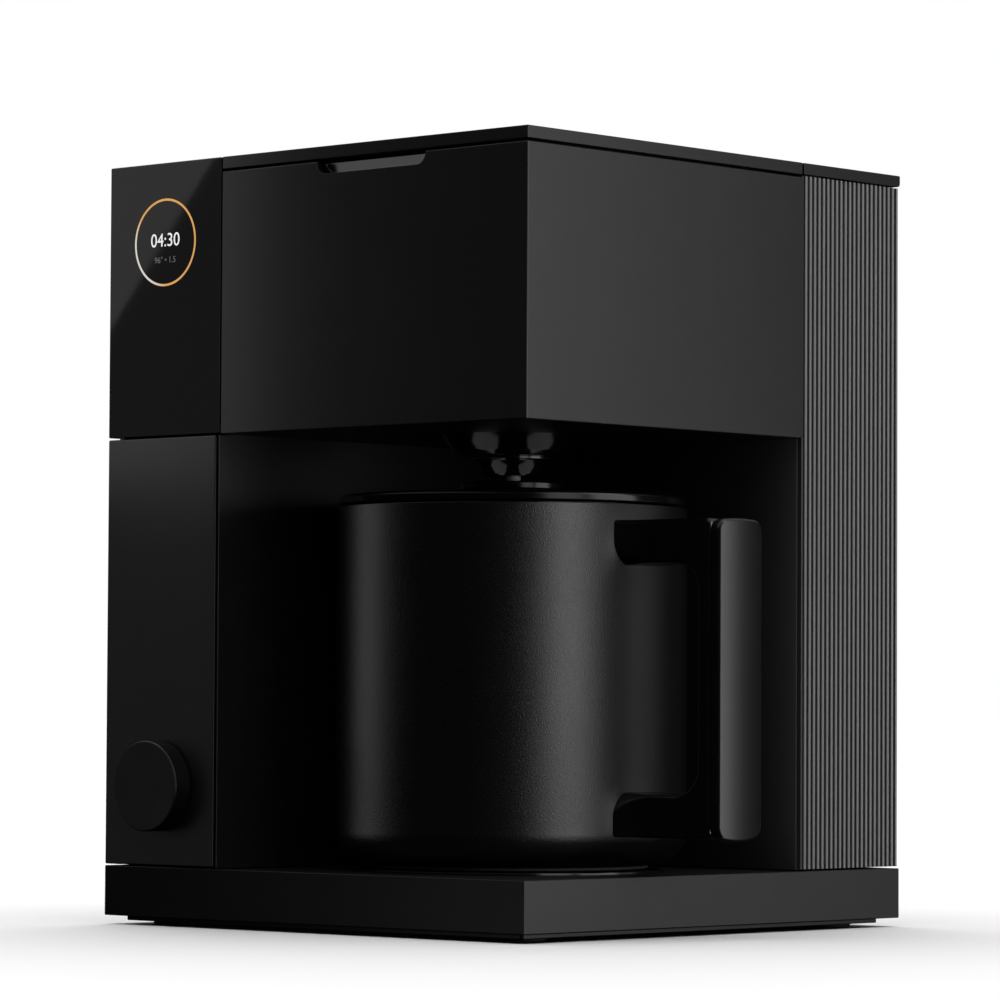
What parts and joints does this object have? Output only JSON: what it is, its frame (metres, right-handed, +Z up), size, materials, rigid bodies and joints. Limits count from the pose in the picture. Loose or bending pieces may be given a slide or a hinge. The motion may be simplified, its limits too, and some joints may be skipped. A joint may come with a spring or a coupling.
{
  "type": "drip coffee brewer",
  "caption": "Compact square-bodied countertop drip coffee brewer with a side display column, control knob, hinged brew lid, ribbed rear water tank and a lidded thermal carafe.",
  "frame": {"origin": "on the floor under the middle of the whole object's box, from the column's left side to the carafe handle and from the knob's face to the back", "axes": "+Z up, +Y to the back, +X to the right as seen from the front"},
  "size_m": [0.2634, 0.235, 0.305],
  "materials": {
    "case_satin": "satin black moulding with a fine even grain",
    "base_satin": "satin black moulding",
    "bay_lining": "dark satin lining of the carafe bay",
    "display_gloss": "polished black front window",
    "gloss_trim": "polished black moulding",
    "handle_gloss": "semi-gloss black moulding",
    "handle_satin": "soft satin black grip",
    "knob_satin": "satin black knob with a fine turned edge",
    "tank_ribbed": "smoky dark grey reeded moulding",
    "rubber": "matte black rubber",
    "silicone": "translucent grey silicone",
    "coated_steel": "matte black powder coat",
    "bare_steel": "brushed stainless steel",
    "heater_aluminium": "cast aluminium",
    "circuit_board": "green solder mask",
    "inner_plastic": "dark grey inner moulding",
    "float_white": "off-white float"
  },
  "bodies": {
    "machine": {"base_slab": "base_satin", "base_plinth": "base_satin", "foot_front_left": "rubber", "foot_front_right": "rubber", "foot_back_left": "rubber", "foot_back_right": "rubber", "carafe_platform": "gloss_trim", "column_cover": "case_satin", "column_frame": "bay_lining", "column_top": "case_satin", "display_glass": "display_gloss", "display_module": "circuit_board", "control_panel": "case_satin", "encoder_body": "inner_plastic", "main_board": "circuit_board", "pump_motor": "bare_steel", "pump_head": "inner_plastic", "pump_bracket": "bare_steel", "flow_heater": "heater_aluminium", "heater_bracket": "bare_steel", "tank_hose": "silicone", "pump_hose": "silicone", "riser_hose": "silicone", "power_inlet": "gloss_trim", "chamber_housing": "case_satin", "finger_scoop": "gloss_trim", "bay_back_wall": "bay_lining", "brew_well": "inner_plastic", "chamber_deck": "inner_plastic", "water_port": "inner_plastic", "water_port_seal": "silicone", "hinge_bracket_left": "bare_steel", "hinge_bracket_right": "bare_steel", "hinge_pin_left": "bare_steel", "hinge_pin_right": "bare_steel", "brew_basket": "inner_plastic", "outlet_cone": "gloss_trim", "drip_valve_body": "gloss_trim", "drip_valve_spring": "bare_steel", "tank_dock": "inner_plastic"},
    "brew_lid": {"lid_panel": "case_satin", "lid_liner": "inner_plastic", "lid_water_channel": "inner_plastic", "shower_head": "bare_steel", "lid_gasket": "silicone"},
    "carafe": {"carafe_body": "coated_steel", "carafe_liner": "bare_steel", "carafe_base": "rubber", "handle_frame": "handle_gloss", "handle_cover": "handle_satin"},
    "carafe_lid": {"carafe_lid": "gloss_trim", "carafe_lid_seal": "silicone", "mixing_tube": "inner_plastic"},
    "drip_valve": {"drip_valve_plunger": "silicone"},
    "knob_stem": {"encoder_shaft": "bare_steel"},
    "knob": {"knob": "knob_satin"},
    "tank": {"tank_body": "tank_ribbed"},
    "tank_lid": {"tank_lid": "case_satin"},
    "tank_valve": {"tank_valve": "silicone"},
    "level_float": {"level_float": "float_white"}
  },
  "joints": [
    {"name": "brew_lid_hinge", "type": "hinge", "parent": "machine", "child": "brew_lid", "pos_m": [0.0147, 0.052, 0.3026], "axis": [-1, 0, 0], "range_deg": [0, 90]},
    {"name": "carafe_slide", "type": "slide", "parent": "machine", "child": "carafe", "axis": [0, -1, 0], "range_m": [0, 0.2]},
    {"name": "carafe_lid_twist", "type": "hinge", "parent": "carafe", "child": "carafe_lid", "pos_m": [0.0146, -0.0265, 0.168], "axis": [0, 0, 1], "range_deg": [0, 40]},
    {"name": "drip_valve_travel", "type": "slide", "parent": "machine", "child": "drip_valve", "axis": [0, 0, -1], "range_m": [0, 0.003], "deforming": ["drip_valve_spring"]},
    {"name": "knob_press", "type": "slide", "parent": "machine", "child": "knob_stem", "axis": [0, 1, 0], "range_m": [0, 0.0008], "stiffness_N_per_m": 2500},
    {"name": "knob_turn", "type": "hinge", "parent": "knob_stem", "child": "knob", "pos_m": [-0.0994, -0.1135, 0.0558], "axis": [0, 1, 0], "continuous": true},
    {"name": "tank_lift", "type": "slide", "parent": "machine", "child": "tank", "axis": [0, 0, 1], "range_m": [0, 0.28]},
    {"name": "tank_lid_hinge", "type": "hinge", "parent": "tank", "child": "tank_lid", "pos_m": [0.0147, 0.1152, 0.3027], "axis": [-1, 0, 0], "range_deg": [0, 95]},
    {"name": "tank_valve_travel", "type": "slide", "parent": "tank", "child": "tank_valve", "axis": [0, 0, -1], "range_m": [0, 0.002]},
    {"name": "float_travel", "type": "slide", "parent": "tank", "child": "level_float", "axis": [0, 0, 1], "range_m": [0, 0.022]}
  ],
  "couplings": [
    {"joint": "drip_valve_travel", "follows": "carafe_slide", "ratio": 0.015},
    {"joint": "tank_valve_travel", "follows": "tank_lift", "ratio": 0.0071429}
  ]
}
